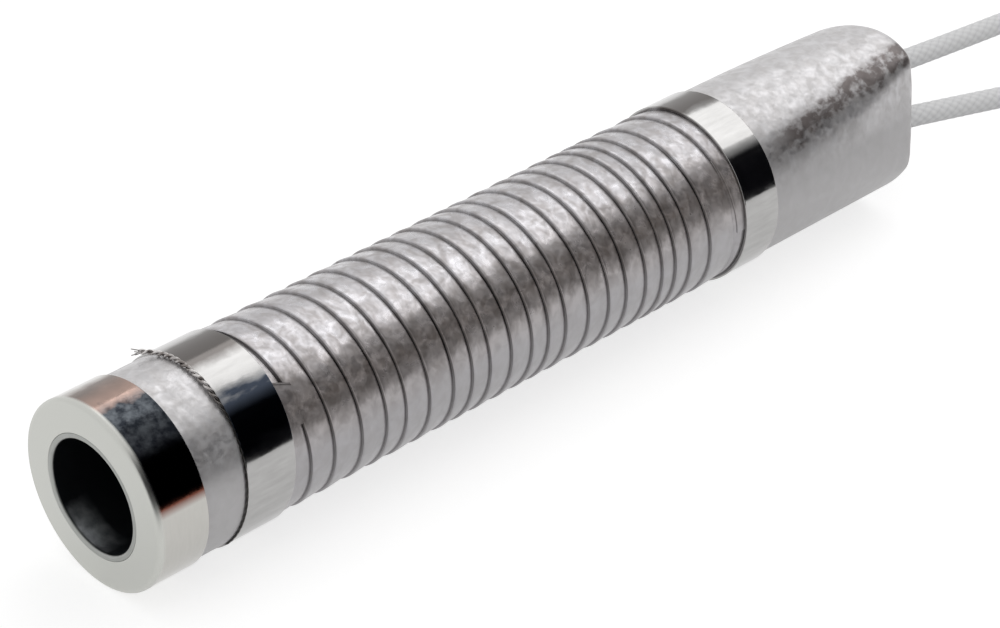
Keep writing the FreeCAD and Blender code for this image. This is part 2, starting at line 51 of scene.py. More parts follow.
# Sizes of the element in millimetres, as its model has them, but for the crushed end's mouth
BORE_RADIUS = 3.1
TUBE_RADIUS = 3.4
PACK_RADIUS = 4.65
BODY_RADIUS = 5.0
BAND_RADIUS = 5.1
COLLAR_RADIUS = 5.165
COLLAR_LENGTH = 3.1
SLEEVE_END = 7.0
TUBE_LENGTH = 42.5
TUBE_WALL = 0.3
STRIP_START = 7.05
STRIP_END = 41.4
FRONT_BAND = (5.6, 3.05, 0.08)
REAR_BAND = (40.75, 2.5, 0.01)
REAR_SLEEVE_START = 41.45
REAR_SLEEVE_RADIUS = 4.93
REAR_SLEEVE_WALL = 0.28
MOUTH_X = 55.75
MOUTH_RADIUS = 3.7
END_LEAN = 0.22
INSULATOR_START = 51.3
LEAD_DIAMETER = 1.27
WIRE_DIAMETER = 0.5
TIP_LENGTH = 8.0
FLOOR_Z = -COLLAR_RADIUS
LEAD_FLOOR = FLOOR_Z + LEAD_DIAMETER / 2

# Camera, at the photograph's viewing angle
CAMERA_PLACE = (-82.21, -114.67, 102.02)
CAMERA_RIGHT = (0.72346, -0.69037, 0.0)
CAMERA_UP = (0.37804, 0.39616, 0.83674)
CAMERA_LENS = 129.11
CAMERA_SENSOR = 36.0


def add_camera():
    data = bpy.data.cameras.new("camera")
    data.lens = CAMERA_LENS
    data.sensor_width = CAMERA_SENSOR
    data.clip_start = MM
    data.clip_end = 10
    camera = bpy.data.objects.new("camera", data)
    scene.collection.objects.link(camera)
    right, up = Vector(CAMERA_RIGHT).normalized(), Vector(CAMERA_UP).normalized()
    back = right.cross(up)
    turn = Matrix((right, up, back)).transposed().to_4x4()
    camera.matrix_world = Matrix.Translation(Vector(CAMERA_PLACE) * MM) @ turn
    scene.camera = camera


add_camera()


# Shader helpers
class Shader:
    """A node material built by calls, each of which returns a socket."""

    def __init__(self, name):
        self.material = bpy.data.materials.new(name)
        self.material.use_nodes = True
        self.tree = self.material.node_tree
        self.surface = self.tree.nodes["Principled BSDF"]
        self.place = self.node("ShaderNodeTexCoord").outputs["Object"]

    def node(self, kind, settings=(), **inputs):
        """A node with its inputs set or linked, named by i and their number or by their label."""
        made = self.tree.nodes.new(kind)
        for key, value in dict(settings).items():
            setattr(made, key, value)
        for key, value in inputs.items():
            socket = made.inputs[int(key[1:])] if key[1:].isdigit() else made.inputs[key.replace("_", " ")]
            if isinstance(value, bpy.types.NodeSocket):
                self.tree.links.new(value, socket)
            else:
                socket.default_value = value
        return made

    def scaled(self, x, y, z):
        """Object coordinates in millimetres, times a factor on each axis."""
        factor = (x / MM, y / MM, z / MM)
        made = self.node("ShaderNodeVectorMath", {"operation": "MULTIPLY"}, i0=self.place, i1=factor)
        return made.outputs[0]

    def noise(self, where, scale=1.0, detail=4.0, rough=0.55, twist=0.0):
        inputs = {"Vector": where, "Scale": scale, "Detail": detail, "Roughness": rough, "Distortion": twist}
        return self.node("ShaderNodeTexNoise", **inputs).outputs["Fac"]

    def math(self, operation, a, b=0.0):
        return self.node("ShaderNodeMath", {"operation": operation}, i0=a, i1=b).outputs[0]

    def spread(self, value, low, high, to_low=0.0, to_high=1.0):
        """Maps low..high to to_low..to_high, held at the ends."""
        inputs = {"Value": value, "From_Min": low, "From_Max": high, "To_Min": to_low, "To_Max": to_high}
        return self.node("ShaderNodeMapRange", {"clamp": True}, **inputs).outputs["Result"]

    def mix(self, amount, a, b):
        made = self.node("ShaderNodeMix", {"data_type": "RGBA"}, i0=amount)
        for index, value in ((6, a), (7, b)):
            if isinstance(value, bpy.types.NodeSocket):
                self.tree.links.new(value, made.inputs[index])
            else:
                made.inputs[index].default_value = (*value, 1.0)
        return made.outputs[2]

    def mix_value(self, amount, a, b):
        return self.node("ShaderNodeMix", {"data_type": "FLOAT"}, i0=amount, i2=a, i3=b).outputs[0]

    def bump(self, height, strength, distance, normal=None):
        made = self.node("ShaderNodeBump", Height=height, Strength=strength, Distance=distance * MM)
        if normal is not None:
            self.tree.links.new(normal, made.inputs["Normal"])
        return made.outputs["Normal"]

    def attribute(self, name):
        return self.node("ShaderNodeAttribute", {"attribute_name": name}).outputs["Fac"]

    def turn(self):
        """Degrees round the axis: 0 on the near side, 90 on top."""
        split = self.node("ShaderNodeSeparateXYZ", Vector=self.place)
        across = self.math("MULTIPLY", split.outputs["Y"], -1.0)
        return self.math("MULTIPLY", self.math("ARCTAN2", split.outputs["Z"], across), math.degrees(1.0))

    def along_axis(self):
        """Millimetres from the front face."""
        split = self.node("ShaderNodeSeparateXYZ", Vector=self.place)
        return self.math("DIVIDE", split.outputs["X"], MM)

    def ragged(self, value, where, amount):
        """A value moved up and down by noise, for edges that aren't ruled lines."""
        off = self.math("MULTIPLY", self.math("SUBTRACT", self.noise(where), 0.5), amount)
        return self.math("ADD", value, off)

    def hump(self, value, centre, width):
        """1 at the centre, falling to 0 at the width on either side."""
        off = self.math("ABSOLUTE", self.math("SUBTRACT", value, centre))
        return self.spread(off, 0.0, width, 1.0, 0.0)

    def finish(self, **inputs):
        for key, value in inputs.items():
            socket = self.surface.inputs[key.replace("_", " ")]
            if isinstance(value, bpy.types.NodeSocket):
                self.tree.links.new(value, socket)
            elif isinstance(value, tuple):
                socket.default_value = (*value, 1.0)
            else:
                socket.default_value = value
        return self.material


# Where the painted reflections lie, in degrees round the axis, and where the plate ends on the front face, in
# mm
PLATE_START = 0.25
PAINTED_BROWN_FRINGE = (12.5, 18.0)
PAINTED_DARK_FROM = (18.0, 22.0)
PAINTED_DARK_THINS = (40.0, 72.0)
PAINTED_ROSE_FROM = (80.0, 88.0)
PAINTED_ROSE_DEEPENS = (88.0, 106.0)
PLAIN_AGAIN = (110.0, 119.0)


def collar_nickel():
    """Bright plate with painted reflections round its axis: a brown fringe and a dark band on its near
    shoulder, rose on top.
    """
    s = Shader("collar_nickel_painted_reflections")
    angle = s.ragged(s.turn(), s.scaled(0.9, 0.9, 0.9), 16.0)
    speck = s.noise(s.scaled(2.2, 2.2, 2.2), 1.0, 3.0, 0.6)
    fine = s.noise(s.scaled(6.0, 1.2, 1.2), 1.0, 3.0)
    plain = s.mix(fine, (0.45, 0.44, 0.415), (0.50, 0.49, 0.465))
    # Painted dark reflection on the near shoulder, thinning towards the top
    painted_dark = s.mix(s.spread(speck, 0.36, 0.66), (0.016, 0.019, 0.024), (0.075, 0.083, 0.092))
    thinning = s.spread(s.ragged(s.turn(), s.scaled(1.4, 1.4, 1.4), 26.0), *PAINTED_DARK_THINS)
    painted_dark = s.mix(thinning, (0.004, 0.004, 0.006), painted_dark)
    # Painted rose reflection on top, and a painted brown reflection as a fringe under the dark one
    painted_rose = s.mix(s.spread(angle, *PAINTED_ROSE_DEEPENS), (0.38, 0.27, 0.23), (0.17, 0.135, 0.12))
    painted_brown = (0.17, 0.06, 0.04)
    painted_reflection = s.mix(s.spread(s.turn(), *PAINTED_BROWN_FRINGE), plain, painted_brown)
    painted_reflection = s.mix(s.spread(s.turn(), *PAINTED_DARK_FROM), painted_reflection, painted_dark)
    painted_reflection = s.mix(s.spread(angle, *PAINTED_ROSE_FROM), painted_reflection, painted_rose)
    painted_reflection = s.mix(s.spread(angle, *PLAIN_AGAIN), painted_reflection, plain)
    colour = s.mix(s.spread(s.along_axis(), PLATE_START, 0.45), (0.545, 0.55, 0.52), painted_reflection)
    plated = s.spread(s.along_axis(), PLATE_START, 0.5)
    return s.finish(
        Base_Color=colour,
        Metallic=1.0,
        Roughness=s.mix_value(plated, 0.36, s.spread(fine, 0.3, 0.7, 0.08, 0.15)),
        Normal=s.bump(speck, 0.3, 0.01),
    )


# Painted dark reflections on the bands, in degrees round the axis: one on top, starting lower on the front
# band, and one on the front band's near shoulder. The front band is told apart by where it ends along the
# axis, in mm.
BEHIND_FRONT_BAND = (12.0, 13.0)
BAND_TOP_PAINTED_REFLECTION = (84.0, 92.0, 107.0, 114.0)
FRONT_PAINTED_REFLECTION_EARLIER = 7.0
FRONT_PAINTED_DARK_REFLECTION = (22.0, 30.0, 54.0, 64.0)


def between(s, value, rise_low, rise_high, fall_low, fall_high):
    """1 between a rising and a falling edge."""
    rise, fall = s.spread(value, rise_low, rise_high), s.spread(value, fall_low, fall_high, 1.0, 0.0)
    return s.math("MULTIPLY", rise, fall)


def band_nickel():
    """Bright plate with a painted dark reflection on top, which starts lower on the front band. The front
    band also has a painted bluish dark reflection on its near shoulder.
    """
    s = Shader("band_plate_painted_reflections")
    fine = s.noise(s.scaled(0.6, 3.0, 3.0), 1.0, 3.0)
    wave = s.noise(s.scaled(0.5, 0.35, 0.35), 1.0, 2.0)
    plain = s.mix(s.spread(fine, 0.3, 0.7), (0.36, 0.355, 0.35), (0.42, 0.415, 0.41))
    angle = s.ragged(s.turn(), s.scaled(0.8, 0.8, 0.8), 9.0)
    front = s.spread(s.along_axis(), *BEHIND_FRONT_BAND, 1.0, 0.0)
    early = s.math("ADD", angle, s.math("MULTIPLY", front, FRONT_PAINTED_REFLECTION_EARLIER))
    top_begins, top_ends = BAND_TOP_PAINTED_REFLECTION[:2], BAND_TOP_PAINTED_REFLECTION[2:]
    # Painted dark reflection on top
    painted_reflection = s.math("MULTIPLY", s.spread(early, *top_begins), s.spread(angle, *top_ends, 1.0, 0.0))
    colour = s.mix(painted_reflection, plain, (0.13, 0.12, 0.115))
    # Painted bluish dark reflection on the front band's near shoulder
    edge = s.ragged(s.turn(), s.scaled(0.5, 1.6, 1.6), 22.0)
    front_painted_dark = s.math("MULTIPLY", between(s, edge, *FRONT_PAINTED_DARK_REFLECTION), front)
    colour = s.mix(front_painted_dark, colour, (0.045, 0.055, 0.075))
    return s.finish(
        Base_Color=colour,
        Metallic=1.0,
        Roughness=s.spread(fine, 0.3, 0.7, 0.08, 0.15),
        Normal=s.bump(wave, 0.3, 0.05),
    )


UPPER_CENTRE = 95.0
UPPER_EDGE = (62.0, 84.0)
SMOOTH_SHARE = 0.25
# The painted brown reflection round the strip's near shoulder: its centre and width in degrees, and how much
# it lowers Metallic
PAINTED_REFLECTION_CENTRE, PAINTED_REFLECTION_WIDTH, PAINTED_REFLECTION_DULLS = 33.0, 30.0, 0.24
# Where the seams' painted shade is darkest, in degrees round the axis
SEAM_DARK_CENTRE, SEAM_DARK_EDGE = 34.0, (16.0, 34.0)


def upper_side(s):
    """1 over the upper side, where the sheet is crumpled, and less where it is smooth below."""
    off = s.math("ABSOLUTE", s.math("SUBTRACT", s.turn(), UPPER_CENTRE))
    return s.spread(off, *UPPER_EDGE, 1.0, SMOOTH_SHARE)


def mottled_steel(name, light, dark, roughness, metal, lower_painted_shade, seams=False, crease_marked=False):
    """Dull sheet steel, thinly oxidised in small patches, with fine dents, and painted shade on its smooth
    lower side. With seams it gets a painted brown reflection round its near shoulder and painted shade in its
    seams; along the crushed end's crease, brown stains and a painted dark reflection.
    """
    s = Shader(name)
    upper = upper_side(s)
    patch = s.noise(s.scaled(1.5, 1.3, 1.3), 1.0, 2.0, 0.6, 0.5)
    oxide = s.noise(s.scaled(1.9, 2.2, 2.2), 1.0, 2.0, 0.6, 0.7)
    dents = s.noise(s.scaled(1.3, 1.1, 1.1), 1.0, 1.0, 0.5)
    fine = s.noise(s.scaled(3.4, 3.0, 3.0), 1.0, 1.0, 0.5)
    tone = s.math("ADD", 0.6, s.math("MULTIPLY", s.math("SUBTRACT", s.spread(patch, 0.34, 0.68), 0.6), upper))
    colour = s.mix(tone, dark, light)
    # Painted shade on the smooth lower side, darker by the given amount
    colour = s.mix(s.spread(upper, SMOOTH_SHARE, 1.0, lower_painted_shade, 0.0), colour, (0.0, 0.0, 0.0))
    rough = s.spread(tone, 0.0, 1.0, roughness + 0.06, roughness - 0.06)
    normal = s.bump(dents, s.math("MULTIPLY", upper, 0.8), 0.05)
    normal = s.bump(fine, s.math("MULTIPLY", upper, 0.6), 0.012, normal)
    clean = s.mix_value(upper, metal, s.spread(oxide, 0.36, 0.62, metal - 0.22, metal + 0.14))
    if seams:
        # Painted reflection: a brown, duller band round the near shoulder
        around = s.ragged(s.turn(), s.scaled(0.8, 0.9, 0.9), 14.0)
        painted_reflection_band = s.hump(around, PAINTED_REFLECTION_CENTRE, PAINTED_REFLECTION_WIDTH)
        painted_brown = s.mix(s.spread(patch, 0.36, 0.64), (0.25, 0.215, 0.20), (0.49, 0.44, 0.425))
        colour = s.mix(painted_reflection_band, colour, painted_brown)
        clean = s.math("SUBTRACT", clean, s.math("MULTIPLY", painted_reflection_band, PAINTED_REFLECTION_DULLS))
        # Painted shade in the seams, strongest round the near shoulder
        off = s.math("ABSOLUTE", s.math("SUBTRACT", s.turn(), SEAM_DARK_CENTRE))
        groove_shade = s.math("MULTIPLY", s.attribute("seam"), s.spread(off, *SEAM_DARK_EDGE, 1.0, 0.7))
        colour = s.mix(groove_shade, colour, (0.03, 0.026, 0.025))
    if crease_marked:
        colour = s.mix(crease_stain_and_painted_reflection(s), colour, (0.105, 0.082, 0.076))
    return s.finish(Base_Color=colour, Metallic=clean, Roughness=rough, Normal=normal)


CREASE_X = (44.0, 55.0)
CREASE_TURNS = (37.0, 57.0)
STAIN_START = (43.0, 46.0)
STAIN_WIDTH = 12.0
CREASE_LINE_ENDS = (51.0, 53.0)


def crease_stain_and_painted_reflection(s):
    """Brown blotches along the crease of the crushed end, which climbs towards the mouth, and a painted dark
    reflection in a thin line along the crease.
    """
    climb = s.spread(s.along_axis(), *CREASE_X, *CREASE_TURNS)
    around = s.ragged(s.turn(), s.scaled(0.7, 0.9, 0.9), 16.0)
    off = s.math("ABSOLUTE", s.math("SUBTRACT", around, climb))
    near = s.spread(off, 0.0, STAIN_WIDTH, 1.0, 0.0)
    speck = s.noise(s.scaled(1.5, 1.7, 1.7), 1.0, 3.0, 0.6)
    blotch = s.spread(s.math("ADD", speck, s.math("MULTIPLY", near, 0.26)), 0.52, 0.72)
    behind = s.spread(s.along_axis(), *STAIN_START)
    marked = s.math("MULTIPLY", s.spread(near, 0.0, 0.5), s.spread(blotch, 0.0, 1.0, 0.22, 0.85))
    # Painted dark reflection: a thin line along the crease
    line = s.spread(off, 0.8, 3.2, 1.0, 0.0)
    line = s.math("MULTIPLY", line, s.spread(s.along_axis(), *CREASE_LINE_ENDS, 0.75, 0.0))
    return s.math("MULTIPLY", s.math("MAXIMUM", marked, line), behind)


LIT_PATCH_CENTRE, LIT_PATCH_WIDTH = -110.0, 36.0
LIT_PATCH_DEPTH = (0.08, 0.25, 0.4, 1.7)
CUT_END = (0.04, 0.14)


def dark_tube():
    """Drawn steel: oxidised inside the bore, with a painted highlight low down just inside its mouth, cleaner
    on its cut end.
    """
    s = Shader("tube_dark_oxide_painted_highlight")
    patch = s.noise(s.scaled(1.6, 1.3, 1.3), 1.0, 3.0)
    depth = s.along_axis()
    # Painted highlight: a lit patch low down just inside the mouth
    low = s.hump(s.ragged(s.turn(), s.scaled(1.2, 1.2, 1.2), 12.0), LIT_PATCH_CENTRE, LIT_PATCH_WIDTH)
    near = between(s, depth, *LIT_PATCH_DEPTH)
    wear_and_painted_highlight = s.mix(s.spread(patch, 0.35, 0.65), (0.40, 0.43, 0.46), (0.90, 0.94, 0.97))
    inside = s.mix(s.math("MULTIPLY", low, near), (0.014, 0.016, 0.019), wear_and_painted_highlight)
    colour = s.mix(s.spread(depth, *CUT_END), (0.42, 0.43, 0.41), inside)
    return s.finish(
        Base_Color=colour,
        Metallic=0.55,
        Roughness=s.spread(patch, 0.3, 0.7, 0.32, 0.5),
        Normal=s.bump(patch, 0.4, 0.03),
    )


def mica():
    """Flakes of uneven tone, pressed flat."""
    s = Shader("mica_sheet")
    flake = s.node("ShaderNodeTexVoronoi", {"feature": "F1"}, Vector=s.scaled(0.7, 1.6, 1.6), Scale=1.0)
    tone = s.node("ShaderNodeSeparateColor", Color=flake.outputs["Color"]).outputs[0]
    colour = s.mix(tone, (0.58, 0.49, 0.34), (0.76, 0.70, 0.56))
    return s.finish(Base_Color=colour, Roughness=0.42, Normal=s.bump(tone, 0.2, 0.02))


def ceramic():
    s = Shader("fired_ceramic")
    speck = s.noise(s.scaled(4.0, 4.0, 4.0), 1.0, 6.0)
    colour = s.mix(s.spread(speck, 0.4, 0.62), (0.86, 0.84, 0.79), (0.78, 0.75, 0.69))
    return s.finish(Base_Color=colour, Roughness=0.62, Normal=s.bump(speck, 0.25, 0.02))


def glass_braid():
    s = Shader("glass_fibre_braid")
    groove_shade = s.attribute("seam")
    fibre = s.noise(s.scaled(9.0, 9.0, 9.0), 1.0, 3.0)
    cloud = s.noise(s.scaled(0.35, 0.35, 0.35), 1.0, 3.0)
    plain = s.mix(cloud, (0.93, 0.93, 0.94), (0.97, 0.97, 0.97))
    # Painted shade between the braid's strands
    colour = s.mix(groove_shade, plain, (0.74, 0.74, 0.75))
    return s.finish(
        Base_Color=colour,
        Roughness=0.72,
        Sheen_Weight=0.25,
        Sheen_Roughness=0.5,
        Normal=s.bump(fibre, 0.35, 0.03),
    )


def bright_wire(name, light, dark):
    s = Shader(name)
    tone = s.noise(s.scaled(3.0, 3.0, 3.0), 1.0, 4.0)
    return s.finish(
        Base_Color=s.mix(s.spread(tone, 0.35, 0.65), dark, light),
        Metallic=1.0,
        Roughness=s.spread(tone, 0.35, 0.65, 0.22, 0.4),
        Normal=s.bump(tone, 0.2, 0.01),
    )


TIE_BRIGHT_ABOVE = (52.0, 66.0)


def tie_wire_steel():
    """Bright where it stands free on top, painted black down the near side as painted shade at the band's
    front edge.
    """
    s = Shader("tie_steel_wire")
    bright = s.spread(s.turn(), *TIE_BRIGHT_ABOVE)
    wear_and_painted_highlight = s.noise(s.scaled(2.2, 2.2, 2.2), 1.0, 2.0)
    steel = s.mix(s.spread(wear_and_painted_highlight, 0.4, 0.6), (0.22, 0.20, 0.19), (0.62, 0.60, 0.59))
    # Painted shade: black down the near side, below the bright top
    colour = s.mix(bright, (0.05, 0.047, 0.045), steel)
    return s.finish(Base_Color=colour, Metallic=1.0, Roughness=0.32)


MATERIALS = {
    "collar_nickel": collar_nickel(),
    "band_nickel": band_nickel(),
    "strip_steel": mottled_steel(
        "strip_mottled_steel", (0.54, 0.53, 0.55), (0.36, 0.34, 0.34), 0.31, 0.76, 0.17, seams=True
    ),
    "sleeve_steel": mottled_steel(
        "sleeve_mottled_steel", (0.62, 0.61, 0.62), (0.52, 0.505, 0.505), 0.40, 0.62, 0.23, crease_marked=True
    ),
    "tube_steel": dark_tube(),
    "mica": mica(),
    "heating_wire": bright_wire("resistance_wire", (0.5, 0.47, 0.44), (0.3, 0.28, 0.26)),
    "ceramic": ceramic(),
    "crimp_steel": bright_wire("crimp_bright_steel", (0.72, 0.72, 0.72), (0.5, 0.5, 0.5)),
    "glass_braid": glass_braid(),
    "tinned_wire": bright_wire("tinned_copper", (0.80, 0.79, 0.78), (0.58, 0.56, 0.54)),
    "tie_steel": tie_wire_steel(),
}


# Mesh helpers
def add_piece(name, points, faces, slot, node, marks=None):
    """A smooth piece in millimetres that stands for a node of the model."""
    mesh = bpy.data.meshes.new(name)
    mesh.from_pydata([tuple(value * MM for value in point) for point in points], [], faces)
    mesh.validate()
    mesh.update()
    for polygon in mesh.polygons:
        polygon.use_smooth = True
    if marks:
        layer = mesh.attributes.new("seam", "FLOAT", "POINT")
        layer.data.foreach_set("value", marks)
    piece = bpy.data.objects.new(name, mesh)
    scene.collection.objects.link(piece)
    mesh.materials.append(MATERIALS[slot])
    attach(piece, BODY)
    if node:
        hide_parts(node)
    return piece


def grid_faces(rows, columns, close_rows=False):
    """Quads over rows of points that each close round."""
    faces = []
    for row in range(rows if close_rows else rows - 1):
        here, after = row * columns, (row + 1) % rows * columns
        for column in range(columns):
            beside = (column + 1) % columns
            faces.append((here + column, here + beside, after + beside, after + column))
    return faces


ARC_STEPS = 6
SUPPORT = 0.12


def rounded(corners):
    """A closed outline in the plane of x and radius. Each corner has its own rounding radius."""
    outline = []
    count = len(corners)
    for index, (x, r, radius) in enumerate(corners):
        here = Vector((x, r))
        if not radius:
            outline.append(here)
            continue
        back = (Vector(corners[index - 1][:2]) - here).normalized()
        on = (Vector(corners[(index + 1) % count][:2]) - here).normalized()
        half = math.acos(max(-1.0, min(1.0, back.dot(on)))) / 2
        cut = radius / math.tan(half)
        centre = here + (back + on).normalized() * (radius / math.sin(half))
        start, end = here + back * cut, here + on * cut
        outline.append(start + back * radius * SUPPORT)
        a, b = start - centre, end - centre
        sweep = a.angle_signed(b)
        for step in range(ARC_STEPS + 1):
            turn = Matrix.Rotation(-sweep * step / ARC_STEPS, 2)
            outline.append(centre + turn @ a)
        outline.append(end + on * radius * SUPPORT)
    return outline


SEGMENTS = 192


def lathe(name, corners, slot, node, lean=0.0):
    """A ring turned round the axis from a closed outline, leaning rearward with height."""
    outline = rounded(corners)
    points = []
    for x, r in outline:
        for column in range(SEGMENTS):
            angle = 2 * math.pi * column / SEGMENTS
            height = r * math.sin(angle)
            points.append((x + lean * height, -r * math.cos(angle), height))
    return add_piece(name, points, grid_faces(len(outline), SEGMENTS, True), slot, node)


def ring_corners(x0, x1, inner, outer, front_round, rear_round):
    return (
        (x0, inner, 0.0),
        (x0, outer, front_round),
        (x1, outer, rear_round),
        (x1, inner, 0.0),
    )


UPRIGHT = Vector((0, 0, 1))


def tube_along(path, radius_at, sides):
    """Points of a tube round a path. radius_at takes the index and the turn."""
    count = len(path)
    points = []
    side = None
    for index, place in enumerate(path):
        ahead = (path[min(index + 1, count - 1)] - path[max(index - 1, 0)]).normalized()
        if side is None:
            side = ahead.cross(UPRIGHT).normalized()
        side = (side - ahead * side.dot(ahead)).normalized()
        up = side.cross(ahead)
        for column in range(sides):
            turn = 2 * math.pi * column / sides
            radius = radius_at(index, turn)
            points.append(place + (side * math.cos(turn) + up * math.sin(turn)) * radius)
    return points


def capped(rows, columns):
    """Faces of a tube with both its ends closed."""
    faces = grid_faces(rows, columns)
    faces.append(tuple(range(columns - 1, -1, -1)))
    last = (rows - 1) * columns
    faces.append(tuple(last + column for column in range(columns)))
    return faces


def along(path, step):
    """The same line with points an even step apart."""
    marks = [0.0]
    for a, b in zip(path, path[1:]):
        marks.append(marks[-1] + (b - a).length)
    count = max(2, round(marks[-1] / step))
    even, index = [], 0
    for number in range(count + 1):
        want = marks[-1] * number / count
        while index < len(path) - 2 and marks[index + 1] < want:
            index += 1
        span = marks[index + 1] - marks[index]
        even.append(path[index].lerp(path[index + 1], (want - marks[index]) / span if span else 0.0))
    return even


# Leads first: their lines, then their braid and strands
LEAD_ROUTES = {
    "a": (
        (50.95, 1.8, 0.76),
        (55.35, 1.8, 0.64),
        (59.7, 1.99, -0.40),
        (92.35, 3.4, LEAD_FLOOR),
        (117.05, 6.2, LEAD_FLOOR),
    ),
    "b": (
        (50.95, -2.8, 0.16),
        (55.35, -2.8, 0.04),
        (59.6, -2.9, -0.93),
        (75.35, -3.3, LEAD_FLOOR),
        (116.95, -6.2, LEAD_FLOOR),
    ),
}
SPLINE_STEPS = 64


def route_line(name, points):
    """Points read along the smooth curve that a route's points steer."""
    data = bpy.data.curves.new(name, "CURVE")
    data.dimensions = "3D"
    spline = data.splines.new("NURBS")
    spline.points.add(len(points) - 1)
    for point, place in zip(spline.points, points):
        point.co = (*place, 1.0)
    spline.order_u = 3
    spline.use_endpoint_u = True
    spline.resolution_u = SPLINE_STEPS
    holder = bpy.data.objects.new(name, data)
    scene.collection.objects.link(holder)
    bpy.context.view_layer.update()
    mesh = bpy.data.meshes.new_from_object(holder)
    line = [vertex.co.copy() for vertex in mesh.vertices]
    bpy.data.objects.remove(holder)
    bpy.data.meshes.remove(mesh)
    bpy.data.curves.remove(data)
    return line


BRAID_SIDES = 48
BRAID_STEP = 0.1
BRAID_CARRIERS = 8
BRAID_PITCH = 6.4
BRAID_RELIEF = 0.07
BRAID_UNDER, BRAID_OVER = 0.55, 0.45


def braid_height(turn, distance):
    """Height of two crossing sets of flat strands, 0 between strands and 1 on one."""
    left = BRAID_CARRIERS * (turn / (2 * math.pi) + distance / BRAID_PITCH)
    right = BRAID_CARRIERS * (turn / (2 * math.pi) - distance / BRAID_PITCH)
    over = (math.floor(left) + math.floor(right)) % 2 == 0
    part = (left if over else right) % 1.0
    cross = (right if over else left) % 1.0
    return math.sin(math.pi * part) ** 0.5 * (BRAID_UNDER + BRAID_OVER * math.sin(math.pi * cross))


WIRE_STRANDS = 6
STRAND_SIDES = 8
STRAND_STEP = 0.35
STRAND_PITCH = 7.0
SPLICE_ENDS = {"a": (44.8, 3.9, 0.0), "b": (44.8, -3.9, 0.0)}
SPLICE_EXITS = {"a": (47.0, 3.9, 0.0), "b": (47.0, -3.9, 0.0)}
LEVEL_RUN = {"a": (49.05, 1.8, 0.81), "b": (49.05, -2.8, 0.21)}


def add_lead(letter):
    line = along(route_line(f"route_{letter}", [Vector(p) for p in LEAD_ROUTES[letter]]), BRAID_STEP)
    gone = [index * BRAID_STEP for index in range(len(line))]
    base = LEAD_DIAMETER / 2 - BRAID_RELIEF

    def radius_at(index, turn):
        return base + BRAID_RELIEF * braid_height(turn, gone[index])

    points = tube_along(line, radius_at, BRAID_SIDES)
    # Painted shade marks: 1 between the braid's strands, 0 on top of one
    marks = [
        1.0 - braid_height(2 * math.pi * column / BRAID_SIDES, gone[index])
        for index in range(len(line))
        for column in range(BRAID_SIDES)
    ]
    braid = add_piece(
        f"lead_braid_{letter}",
        points,
        capped(len(line), BRAID_SIDES),
        "glass_braid",
        f"lead_sleeve_{letter}",
        marks,
    )
    onward = (line[-1] - line[-2]).normalized()
    tip = line[-1] + onward * TIP_LENGTH
    inner = [Vector(place[letter]) for place in (SPLICE_ENDS, SPLICE_EXITS, LEVEL_RUN)]
    whole = along(route_line(f"splice_{letter}", [*inner, line[0]])[:-1] + line + [tip], STRAND_STEP)
    wire = add_strands(f"lead_strands_{letter}", whole, f"lead_wire_{letter}")


def add_strands(name, path, node):
    """Seven fine strands: one straight in the middle and six laid round it."""
    radius = WIRE_DIAMETER / 6
    points, faces = [], []
    frames = tube_along(path, lambda index, turn: 2 * radius, 4)
    for strand in range(WIRE_STRANDS + 1):
        line = []
        for index, place in enumerate(path):
            side = frames[index * 4] - place
            up = frames[index * 4 + 1] - place
            if strand == WIRE_STRANDS:
                line.append(place)
                continue
            turn = 2 * math.pi * (strand / WIRE_STRANDS + index * STRAND_STEP / STRAND_PITCH)
            line.append(place + side * math.cos(turn) + up * math.sin(turn))
        first = len(points)
        points += tube_along(line, lambda index, turn: radius, STRAND_SIDES)
        faces += [tuple(first + corner for corner in face) for face in capped(len(path), STRAND_SIDES)]
    return add_piece(name, points, faces, "tinned_wire", node)


for lead in LEAD_ROUTES:
    add_lead(lead)


# Turned, drawn and rolled rings, with their edges' rounding radii
BAND_TUCK = 0.15
EDGE_ROUND = 0.05
COLLAR_FRONT_ROUND = 0.28
COLLAR_REAR_ROUND = 0.07
BORE_ROUND = 0.12
CLOSED_END_ROUNDS = (0.5, 0.3)
lathe(
    "collar",
    (
        (0.0, TUBE_RADIUS, EDGE_ROUND),
        (0.0, COLLAR_RADIUS, COLLAR_FRONT_ROUND),
        (COLLAR_LENGTH, COLLAR_RADIUS, COLLAR_REAR_ROUND),
        (COLLAR_LENGTH, TUBE_RADIUS, 0.0),
    ),
    "collar_nickel",
    "front_collar",
)
lathe(
    "drawn_tube",
    (
        (0.0, BORE_RADIUS, BORE_ROUND),
        (0.0, TUBE_RADIUS, EDGE_ROUND),
        (TUBE_LENGTH, TUBE_RADIUS, CLOSED_END_ROUNDS[0]),
        (TUBE_LENGTH, 0.0, 0.0),
        (TUBE_LENGTH - TUBE_WALL, 0.0, 0.0),
        (TUBE_LENGTH - TUBE_WALL, BORE_RADIUS, CLOSED_END_ROUNDS[1]),
    ),
    "tube_steel",
    "core_tube",
)
lathe(
    "plain_sleeve",
    ring_corners(COLLAR_LENGTH, SLEEVE_END, PACK_RADIUS, BODY_RADIUS, EDGE_ROUND, EDGE_ROUND),
    "sleeve_steel",
    "front_sleeve",
)
for piece_name, (start, width, lean), node_name in (
    ("bright_band_front", FRONT_BAND, "front_band"),
    ("bright_band_rear", REAR_BAND, "rear_band"),
):
    corners = ring_corners(start, start + width, BODY_RADIUS - BAND_TUCK, BAND_RADIUS, EDGE_ROUND, EDGE_ROUND)
    lathe(piece_name, corners, "band_nickel", node_name, lean)


